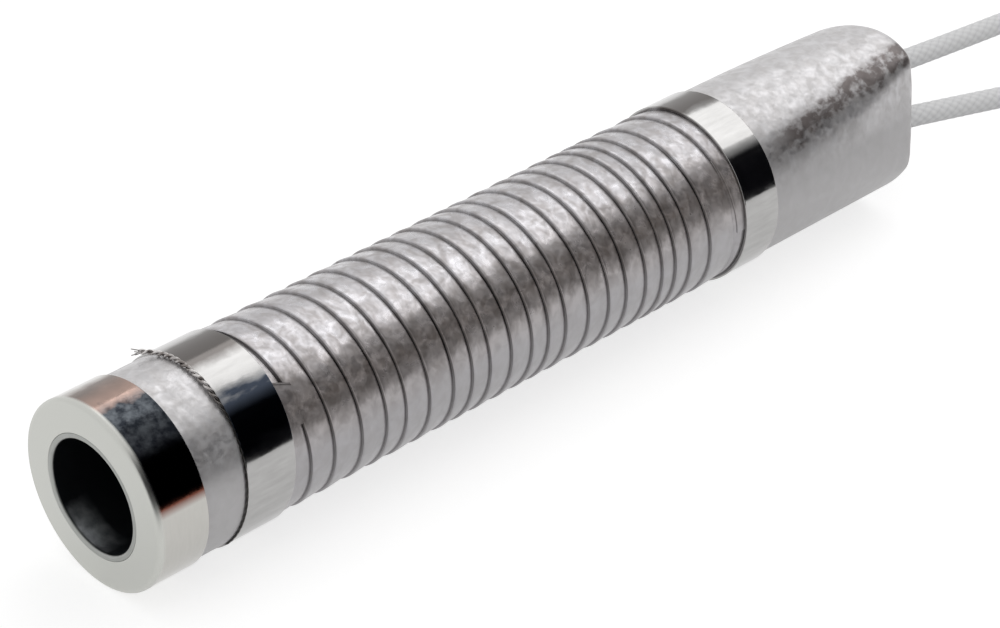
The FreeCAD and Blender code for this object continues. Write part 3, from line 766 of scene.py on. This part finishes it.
# Hand-wound strip, each turn lapping the next
TURN_SHARES = (
    0.69, 1.21, 1.07, 1.24, 1.14, 0.90, 1.10, 1.14, 0.90, 0.86, 1.03, 1.00,
    0.83, 0.86, 1.14, 1.03, 0.90, 1.00, 0.86, 0.69, 0.79, 1.07, 1.38, 0.86,
)
STRIP_STEPS = 150
STEP_SEEN = 0.14
GROOVE_DEPTH = 0.06
GROOVE_WIDTH = 0.055
GROOVE_WIDEST = 42.0
GROOVE_FOCUS = 4
GROOVE_SHARES = (0.85, 0.9)
# Painted shade marks: full in each groove, this much on the edges beside it
EDGE_MARK = 0.35
CROWN = 0.12
CROWN_DROP = 0.03
CROWN_POINTS = ((0.0, 2.2, EDGE_MARK), (0.15, 1.0, 0.0), (0.5, 0.3, 0.0))
FLAT_PARTS = 8
SAG_POWER = 2.5
REAR_EDGE_GAP = 0.04
REAR_EDGE_DROP = 0.02
DENT = 0.016
DENT_SCALE = 0.8
DENT_LOW = 0.6
TAIL_START = 39.9
TAIL_RADIUS = 4.87

# What changes along the strip: its mean, its swing, how fast it changes with the turns, and its seed
WANDER = (0.0, 0.03, 2.3, (0.0, 7.0))
TILT = (0.8, 0.5, 0.9, (3.0, 0.0))
UNEVEN = (1.0, 0.7, 4.1, (9.0, 2.0))


def varied(done, mean, swing, rate, seed):
    return mean + swing * noise.noise(Vector((done * rate, *seed)))


def lap_positions():
    length = STRIP_END - STRIP_START
    positions = [STRIP_START]
    for share in TURN_SHARES:
        positions.append(positions[-1] + length * share / sum(TURN_SHARES))
    return positions


def lap_x(positions, turns):
    """A lap's place along the axis after that many turns."""
    last = len(positions) - 1
    index = min(int(turns), last - 1)
    part = turns - index
    before, here, ahead, beyond = (positions[min(max(index + step, 0), last)] for step in (-1, 0, 1, 2))
    slope = ahead - before
    bend = 2 * before - 5 * here + 4 * ahead - beyond
    twist = 3 * here - before - 3 * ahead + beyond
    return here + part * (slope + part * (bend + part * twist)) / 2


def strip_profile(front, rear, angle, tilt):
    """A turn's section from its front edge to its rear edge: x, radius and how much painted shade its seam
    gets.
    """
    low = BODY_RADIUS - STEP_SEEN
    profile = [(front, low - GROOVE_DEPTH, 1.0)]
    for share, drop, mark in CROWN_POINTS:
        profile.append((front + share * CROWN, BODY_RADIUS - drop * CROWN_DROP, mark))
    begin, end = front + CROWN, rear - REAR_EDGE_GAP
    across, up = BODY_RADIUS * math.cos(angle), BODY_RADIUS * math.sin(angle)
    for part in range(FLAT_PARTS + 1):
        share = part / FLAT_PARTS
        x = begin + (end - begin) * share
        dent = noise.noise(Vector((x, across, up)) * DENT_SCALE)
        fall = STEP_SEEN * ((1 - tilt) * share**SAG_POWER + tilt * share)
        dented = DENT * (dent - DENT_LOW) * (1 - share)
        profile.append((x, min(BODY_RADIUS, BODY_RADIUS - fall + dented), 0.0))
    profile += [
        (rear, low - REAR_EDGE_DROP, EDGE_MARK),
        (rear, low - GROOVE_DEPTH, 1.0),
    ]
    return profile


def add_strip():
    positions = lap_positions()
    turns = len(positions) - 2
    points, marks = [], []
    total = turns * STRIP_STEPS
    for step in range(total + 1):
        done = step / STRIP_STEPS
        angle = 2 * math.pi * done
        front = lap_x(positions, done) + varied(done, *WANDER)
        near = max(0.0, math.cos(angle + math.radians(GROOVE_WIDEST))) ** GROOVE_FOCUS
        groove = GROOVE_WIDTH * (GROOVE_SHARES[0] + GROOVE_SHARES[1] * near) * varied(done, *UNEVEN)
        rear = lap_x(positions, done + 1) + varied(done + 1, *WANDER) - groove
        profile = strip_profile(front, rear, angle, varied(done, *TILT))
        for x, r, mark in profile:
            points.append((x, -r * math.cos(angle), -r * math.sin(angle)))
            marks.append(mark)
    wide = len(profile)
    faces = []
    for step in range(total):
        for part in range(wide - 1):
            a = step * wide + part
            faces.append((a, a + 1, a + wide + 1, a + wide))
        behind = step * wide + wide - 1
        ahead = (step + STRIP_STEPS) * wide
        if step + STRIP_STEPS < total:
            faces.append((behind, ahead, ahead + wide, behind + wide))
    first = len(points)
    tail = rounded(ring_corners(TAIL_START, STRIP_END, PACK_RADIUS, TAIL_RADIUS, 0.0, 0.0))
    for x, r in tail:
        for column in range(SEGMENTS):
            turn = 2 * math.pi * column / SEGMENTS
            points.append((x, -r * math.cos(turn), r * math.sin(turn)))
            marks.append(0.0)
    faces += [tuple(first + corner for corner in face) for face in grid_faces(len(tail), SEGMENTS, True)]
    add_piece("wound_strip", points, faces, "strip_steel", "binding_strip", marks)


add_strip()


# The strip's skew-cut front end, which stands out behind the front band
TONGUE_X = (8.5, 9.9)
TONGUE_TURNS = (24.0, 55.0, 48.0)
TONGUE_RISE = 0.05
TONGUE_SINK = 0.03
TONGUE_EDGE = 0.12
TONGUE_FLAT_SHARE = 0.8
TONGUE_LIFT_POWER = 1.4
TONGUE_LIFT_SHARES = (0.35, 0.65)
TONGUE_LIP = 0.25
TONGUE_EDGE_MARK = 0.8
TONGUE_STEPS = (10, 24)


def add_tongue():
    across, down = TONGUE_STEPS
    low, front_top, rear_top = TONGUE_TURNS
    points, faces, marks = [], [], []
    for row in range(across + 1):
        share = row / across
        x = TONGUE_X[0] + (TONGUE_X[1] - TONGUE_X[0]) * share
        top = front_top + (rear_top - front_top) * share
        edge = 1.0 - max(0.0, share - TONGUE_FLAT_SHARE) / (1.0 - TONGUE_FLAT_SHARE)
        for column in range(down + 1):
            part = column / down
            degrees = low + (top - low) * part
            lift = part**TONGUE_LIFT_POWER * (TONGUE_LIFT_SHARES[0] + TONGUE_LIFT_SHARES[1] * edge)
            r = BODY_RADIUS - TONGUE_SINK + TONGUE_RISE * lift
            angle = math.radians(degrees)
            points.append((x, -r * math.cos(angle), r * math.sin(angle)))
            # Painted shade along the cut edge: strong near it, full on its lip
            marks.append(0.0 if column < down - 1 else TONGUE_EDGE_MARK)
        for sink in (0.0, TONGUE_EDGE):
            r = BODY_RADIUS - TONGUE_SINK - sink
            angle = math.radians(top + TONGUE_LIP)
            points.append((x, -r * math.cos(angle), r * math.sin(angle)))
            marks.append(1.0)
    wide = down + 3
    for row in range(across):
        for column in range(wide - 1):
            a = row * wide + column
            faces.append((a, a + 1, a + wide + 1, a + wide))
    add_piece("strip_tongue", points, faces, "strip_steel", None, marks)


add_tongue()


# Rear sleeve, crushed flat on its near side towards its leaning mouth
REAR_STEPS = 40
INSIDE_STRIDE = 4
RIM_STEPS = 8
CRUSH_START = 44.0
CRUSH_TURN = 14.0
CRUSH_DEPTH = 1.05
CRUSH_SOFT = 0.34
TOP_TURN = 118.0
TOP_SPREAD = 62.0
TOP_DEPTH = 0.42
MOUTH_WALL = 0.42
FLAT_SPREAD = 80.0
RIM_LENGTH = 0.55
RIM_LONGER_ON_TOP = 0.95


def crush(x):
    """How far the crush has gone there, from 0 to 1 at the mouth."""
    return max(0.0, min(1.0, (x - CRUSH_START) / (MOUTH_X - CRUSH_START))) ** 2


def turn_off(angle, centre):
    return abs((math.degrees(angle) - centre + 180.0) % 360.0 - 180.0)


def rear_radius(x, angle):
    """The sleeve's outer radius there, less where it is crushed."""
    share = crush(x)
    off = turn_off(angle, TOP_TURN)
    round_part = REAR_SLEEVE_RADIUS
    if off < TOP_SPREAD:
        round_part -= TOP_DEPTH * share * math.cos(math.pi * off / TOP_SPREAD / 2) ** 2
    off = turn_off(angle, CRUSH_TURN)
    if off > FLAT_SPREAD:
        return round_part
    flat_part = (REAR_SLEEVE_RADIUS - CRUSH_DEPTH * share) / math.cos(math.radians(off))
    gap = max(0.0, CRUSH_SOFT - abs(round_part - flat_part)) / CRUSH_SOFT
    return min(round_part, flat_part) - gap * gap * CRUSH_SOFT / 4


def rim_length(angle):
    """How far along the axis the rim's rounding goes: longer on top."""
    return RIM_LENGTH + RIM_LONGER_ON_TOP * max(0.0, math.cos(math.radians(turn_off(angle, TOP_TURN)))) ** 2


def mouth_radius(angle):
    return min(MOUTH_RADIUS, rear_radius(MOUTH_X, angle) - MOUTH_WALL)


def sleeve_point(x, r, angle, lean):
    height = r * math.sin(angle)
    return (x + lean * END_LEAN * height, -r * math.cos(angle), height)


def add_rear_sleeve():
    columns = [2 * math.pi * column / SEGMENTS for column in range(SEGMENTS)]
    wall = REAR_SLEEVE_WALL
    rings = []
    for step in range(REAR_STEPS + 1):
        share = step / REAR_STEPS
        ring = []
        for angle in columns:
            x = REAR_SLEEVE_START + (MOUTH_X - rim_length(angle) - REAR_SLEEVE_START) * share
            ring.append(sleeve_point(x, rear_radius(x, angle), angle, share**2))
        rings.append(ring)
    for inset in (0.0, wall):
        turned = []
        for step in range(1, RIM_STEPS + 1):
            turn = math.pi / 2 * step / RIM_STEPS
            ring = []
            for angle in columns:
                long = rim_length(angle)
                x = MOUTH_X - inset - (long - inset) * (1 - math.sin(turn))
                outer = rear_radius(x, angle) - inset
                r = outer - (outer - mouth_radius(angle)) * (1 - math.cos(turn))
                ring.append(sleeve_point(x, r, angle, 1.0))
            turned.append(ring)
        rings += turned if inset == 0.0 else turned[::-1]
    for step in range(REAR_STEPS, -1, -INSIDE_STRIDE):
        share = step / REAR_STEPS
        ring = []
        for angle in columns:
            x = REAR_SLEEVE_START + (MOUTH_X - rim_length(angle) - REAR_SLEEVE_START) * share
            ring.append(sleeve_point(x, rear_radius(x, angle) - wall, angle, share**2))
        rings.append(ring)
    points = [point for ring in rings for point in ring]
    add_piece("chamber_sleeve", points, grid_faces(len(rings), SEGMENTS, True), "sleeve_steel", "rear_sleeve")


add_rear_sleeve()


# Liner and insulator of the chamber, which follow the crushed sleeve
LINER_START = 41.8
LINER_RADIUS = 4.5
LINER_WALL = 0.14
LINER_STEPS = 12
LINER_GAP = 0.03
INSULATOR_LENGTH = 2.0
INSULATOR_RADIUS = 4.44
INSULATOR_CHAMFER = 0.12
INSULATOR_SIDES = 64
HOLE_RADIUS = 0.735
HOLE_PLACES = ((1.8, 0.7), (-2.8, 0.1))


def within_sleeve(x, angle, radius):
    return min(radius, rear_radius(x, angle) - REAR_SLEEVE_WALL - LINER_GAP)


def add_liner():
    rings = []
    for inset, order in ((0.0, range(LINER_STEPS + 1)), (LINER_WALL, range(LINER_STEPS, -1, -1))):
        for step in order:
            x = LINER_START + (INSULATOR_START - LINER_START) * step / LINER_STEPS
            ring = []
            for column in range(SEGMENTS):
                angle = 2 * math.pi * column / SEGMENTS
                r = within_sleeve(x, angle, LINER_RADIUS) - inset
                ring.append((x, -r * math.cos(angle), r * math.sin(angle)))
            rings.append(ring)
    points = [point for ring in rings for point in ring]
    add_piece("mica_liner", points, grid_faces(len(rings), SEGMENTS, True), "mica", "chamber_liner")


add_liner()


def add_insulator():
    """Ceramic disc: its two faces hold the rings of its rim and of its two holes."""
    bends, outline = INSULATOR_SIDES, []
    start, end = INSULATOR_START, INSULATOR_START + INSULATOR_LENGTH
    chamfer = INSULATOR_CHAMFER
    for x, trim in ((start, chamfer), (start + chamfer, 0.0), (end - chamfer, 0.0), (end, chamfer)):
        ring = []
        for column in range(bends):
            angle = 2 * math.pi * column / bends
            r = within_sleeve(x, angle, INSULATOR_RADIUS) - trim
            ring.append((x, -r * math.cos(angle), r * math.sin(angle)))
        outline.append(ring)
    disc = bmesh.new()
    rows = [[disc.verts.new(Vector(point) * MM) for point in ring] for ring in outline]
    for front, rear in zip(rows, rows[1:]):
        for column in range(bends):
            beside = (column + 1) % bends
            disc.faces.new((front[column], front[beside], rear[beside], rear[column]))
    holes = []
    for across, up in HOLE_PLACES:
        ends = []
        for x in (start, end):
            ring = []
            for step in range(bends):
                angle = 2 * math.pi * step / bends
                y, z = across - HOLE_RADIUS * math.cos(angle), up + HOLE_RADIUS * math.sin(angle)
                ring.append(disc.verts.new(Vector((x, y, z)) * MM))
            ends.append(ring)
        for step in range(bends):
            beside = (step + 1) % bends
            disc.faces.new((ends[0][step], ends[1][step], ends[1][beside], ends[0][beside]))
        holes.append(ends)
    for side, rim in ((0, rows[0]), (1, rows[-1])):
        edges = []
        for ring in (rim, *(ends[side] for ends in holes)):
            edges += [disc.edges.get((ring[step], ring[(step + 1) % bends])) for step in range(bends)]
        bmesh.ops.triangle_fill(disc, edges=edges, use_beauty=True)
    bmesh.ops.recalc_face_normals(disc, faces=disc.faces)
    mesh = bpy.data.meshes.new("ceramic_insulator")
    disc.to_mesh(mesh)
    disc.free()
    mesh.materials.append(MATERIALS["ceramic"])
    piece = bpy.data.objects.new("ceramic_insulator", mesh)
    scene.collection.objects.link(piece)
    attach(piece, BODY)
    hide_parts("rear_insulator")


add_insulator()


# Twisted tie wire with a frayed end
TIE_RADIUS = 0.15
TIE_THIN = 0.055
TIE_THIN_BELOW = (42.0, 60.0)
TIE_START = 106.0
TIE_SPAN = 151.0
TIE_TAIL = Vector((-0.56, 0.82, -0.06)).normalized()
TIE_TAIL_LENGTH = 0.85
TIE_LEAD_IN = 0.4
TIE_PITCH = 0.9
TIE_STEP = 0.06
TIE_ARC_STEPS = 240
TIE_BEND_STEPS = 10
FRAY_HAIRS = 4
FRAY_LENGTH = 0.5
FRAY_STEPS = 6
FRAY_THICKNESS = 0.45
FRAY_ASIDE = 0.6
FRAY_BEND = 0.12
FRAY_SHORTEST = 0.5
FRAY_SEED = 4


def tie_radius(degrees):
    low, high = TIE_THIN_BELOW
    share = max(0.0, min(1.0, (degrees - low) / (high - low)))
    return TIE_THIN + (TIE_RADIUS - TIE_THIN) * share


def tie_path():
    lean = math.atan(FRONT_BAND[2])
    line = []
    for step in range(TIE_ARC_STEPS + 1):
        degrees = TIE_START - TIE_SPAN + TIE_SPAN * step / TIE_ARC_STEPS
        angle = math.radians(degrees)
        thick = tie_radius(degrees)
        reach = (BODY_RADIUS + thick) / math.cos(lean)
        x = FRONT_BAND[0] - thick + reach * math.sin(lean) * math.sin(angle)
        line.append(Vector((x, -reach * math.cos(angle), reach * math.cos(lean) * math.sin(angle))))
    onward = (line[-1] - line[-2]).normalized()
    corner = line[-1] + onward * TIE_LEAD_IN
    start, end = line[-1], corner + TIE_TAIL * TIE_LEAD_IN
    for step in range(1, TIE_BEND_STEPS + 1):
        share = step / TIE_BEND_STEPS
        first = start.lerp(corner, share)
        second = corner.lerp(end, share)
        line.append(first.lerp(second, share))
    line.append(corner + TIE_TAIL * TIE_TAIL_LENGTH)
    return along(line, TIE_STEP)


def add_tie_wire():
    path = tie_path()
    points, faces = [], []
    thick = [tie_radius(math.degrees(math.atan2(place.z, -place.y))) / 2 for place in path]
    radius = TIE_RADIUS / 2
    frames = tube_along(path, lambda index, turn: thick[index], 4)
    ends = []
    for strand in range(2):
        line = []
        for index, place in enumerate(path):
            side = frames[index * 4] - place
            up = frames[index * 4 + 1] - place
            turn = math.pi * strand + 2 * math.pi * index * TIE_STEP / TIE_PITCH
            line.append(place + side * math.cos(turn) + up * math.sin(turn))
        ends.append(line[-1])
        first = len(points)
        points += tube_along(line, lambda index, turn: thick[index], STRAND_SIDES)
        faces += [tuple(first + corner for corner in face) for face in capped(len(path), STRAND_SIDES)]
    draw = random.Random(FRAY_SEED)
    for hair in range(FRAY_HAIRS):
        start = ends[hair % 2]
        aside = Vector([draw.uniform(-FRAY_ASIDE, FRAY_ASIDE) for _ in range(3)])
        end = start + (TIE_TAIL + aside).normalized() * FRAY_LENGTH * draw.uniform(FRAY_SHORTEST, 1.0)
        middle = start.lerp(end, 0.5) + aside * FRAY_BEND
        line = []
        for step in range(FRAY_STEPS + 1):
            share = step / FRAY_STEPS
            line.append(start.lerp(middle, share).lerp(middle.lerp(end, share), share))
        first = len(points)
        points += tube_along(line, lambda index, turn: radius * FRAY_THICKNESS, STRAND_SIDES)
        faces += [tuple(first + corner for corner in face) for face in capped(len(line), STRAND_SIDES)]
    add_piece("twisted_tie", points, faces, "tie_steel", "tie_wire")


add_tie_wire()


# The model's own inner pieces keep their shape and get their finish
for entry in frame["record"]["subparts"]:
    for slot in frame["nodes"][entry["node"]].material_slots:
        slot.material = MATERIALS[entry["material_slot"]]


# Floor, a dark card for the metal to reflect, and soft light, in metres
FLOOR_SIZE = 3.0
FLOOR_COLOUR = (0.66, 0.66, 0.66, 1.0)
FLOOR_LIFT = 0.66
MATT = 0.9
CARD_PLACE = (0.12, -0.08, 0.08)
CARD_TARGET = (0.12, 0, 0.08)
CARD_SIZE = (0.5, 0.17)
CARD_COLOUR = (0.010, 0.010, 0.013, 1.0)
CARD_FADE = (0.1, 0.5)
LIGHT_PLACE = (0.272, 0.072, 0.306)
LIGHT_TARGET = (0.03, 0, 0)
LIGHT_SIZE = (0.44, 0.19)
LIGHT_POWER = 0.31
WORLD_LIGHT = 0.55


def flat_card(name, centre, width, height, towards, material):
    """An upright or tilted rectangle that faces a point."""
    mesh = bpy.data.meshes.new(name)
    w, h = width / 2, height / 2
    mesh.from_pydata([(-w, -h, 0), (w, -h, 0), (w, h, 0), (-w, h, 0)], [], [(0, 1, 2, 3)])
    card = bpy.data.objects.new(name, mesh)
    scene.collection.objects.link(card)
    card.matrix_world = facing(Vector(centre), Vector(towards))
    mesh.materials.append(material)
    return card


def facing(place, target):
    turn = (target - place).to_track_quat("Z", "Y").to_matrix().to_4x4()
    return Matrix.Translation(place) @ turn


def matt_material(name, colour):
    material = bpy.data.materials.new(name)
    material.use_nodes = True
    surface = material.node_tree.nodes["Principled BSDF"]
    surface.inputs["Base Color"].default_value = colour
    surface.inputs["Roughness"].default_value = MATT
    surface.inputs["Specular IOR Level"].default_value = 0.0
    return material


def seen_rays(tree, rays):
    """1 for rays from the camera, and for those by way of metal or glass."""
    first = tree.nodes.new("ShaderNodeMath")
    first.operation = "MAXIMUM"
    second = tree.nodes.new("ShaderNodeMath")
    second.operation = "MAXIMUM"
    tree.links.new(rays.outputs["Is Camera Ray"], first.inputs[0])
    tree.links.new(rays.outputs["Is Glossy Ray"], first.inputs[1])
    tree.links.new(first.outputs[0], second.inputs[0])
    tree.links.new(rays.outputs["Is Transmission Ray"], second.inputs[1])
    return second.outputs[0]


def floor_material():
    """Plain pale floor. It is seen lifted to white, with the object's shadow kept."""
    material = matt_material("pale_floor", FLOOR_COLOUR)
    tree = material.node_tree
    surface = tree.nodes["Principled BSDF"]
    glow = tree.nodes.new("ShaderNodeEmission")
    glow.inputs["Color"].default_value = (1.0, 1.0, 1.0, 1.0)
    glow.inputs["Strength"].default_value = FLOOR_LIFT
    both = tree.nodes.new("ShaderNodeAddShader")
    choose = tree.nodes.new("ShaderNodeMixShader")
    rays = tree.nodes.new("ShaderNodeLightPath")
    tree.links.new(surface.outputs[0], both.inputs[0])
    tree.links.new(glow.outputs[0], both.inputs[1])
    tree.links.new(seen_rays(tree, rays), choose.inputs[0])
    tree.links.new(surface.outputs[0], choose.inputs[1])
    tree.links.new(both.outputs[0], choose.inputs[2])
    tree.links.new(choose.outputs[0], tree.nodes["Material Output"].inputs["Surface"])
    return material


flat_card("floor", (0, 0, FLOOR_Z * MM), FLOOR_SIZE, FLOOR_SIZE, (0, 0, 1), floor_material())


def faded_card():
    """Dark card that thins out towards its top edge."""
    material = matt_material("dark_card", CARD_COLOUR)
    tree = material.node_tree
    place = tree.nodes.new("ShaderNodeTexCoord")
    split = tree.nodes.new("ShaderNodeSeparateXYZ")
    fade = tree.nodes.new("ShaderNodeMapRange")
    fade.inputs["From Min"].default_value = CARD_SIZE[1] * CARD_FADE[0]
    fade.inputs["From Max"].default_value = CARD_SIZE[1] * CARD_FADE[1]
    fade.inputs["To Min"].default_value = 1.0
    fade.inputs["To Max"].default_value = 0.0
    tree.links.new(place.outputs["Object"], split.inputs[0])
    tree.links.new(split.outputs["Y"], fade.inputs["Value"])
    tree.links.new(fade.outputs["Result"], tree.nodes["Principled BSDF"].inputs["Alpha"])
    return material


near_card = flat_card("dark_card_near", CARD_PLACE, *CARD_SIZE, CARD_TARGET, faded_card())
near_card.visible_camera = False
near_card.visible_diffuse = False
near_card.visible_shadow = False


def add_light():
    data = bpy.data.lights.new("overhead", "AREA")
    data.shape = "RECTANGLE"
    data.size, data.size_y = LIGHT_SIZE
    data.energy = LIGHT_POWER
    light = bpy.data.objects.new("overhead", data)
    scene.collection.objects.link(light)
    place = Vector(LIGHT_PLACE)
    aim = (place - Vector(LIGHT_TARGET)).to_track_quat("Z", "Y").to_matrix().to_4x4()
    light.matrix_world = Matrix.Translation(place) @ aim
    light.visible_camera = False


add_light()


def set_world():
    world = bpy.data.worlds.new("studio")
    scene.world = world
    world.use_nodes = True
    tree = world.node_tree
    tree.nodes.clear()
    rays = tree.nodes.new("ShaderNodeLightPath")
    lit = tree.nodes.new("ShaderNodeBackground")
    lit.inputs["Color"].default_value = (1, 1, 1, 1)
    lit.inputs["Strength"].default_value = WORLD_LIGHT
    white = tree.nodes.new("ShaderNodeBackground")
    white.inputs["Color"].default_value = (1, 1, 1, 1)
    white.inputs["Strength"].default_value = 1.0
    choose = tree.nodes.new("ShaderNodeMixShader")
    out = tree.nodes.new("ShaderNodeOutputWorld")
    tree.links.new(seen_rays(tree, rays), choose.inputs[0])
    tree.links.new(lit.outputs[0], choose.inputs[1])
    tree.links.new(white.outputs[0], choose.inputs[2])
    tree.links.new(choose.outputs[0], out.inputs["Surface"])


set_world()
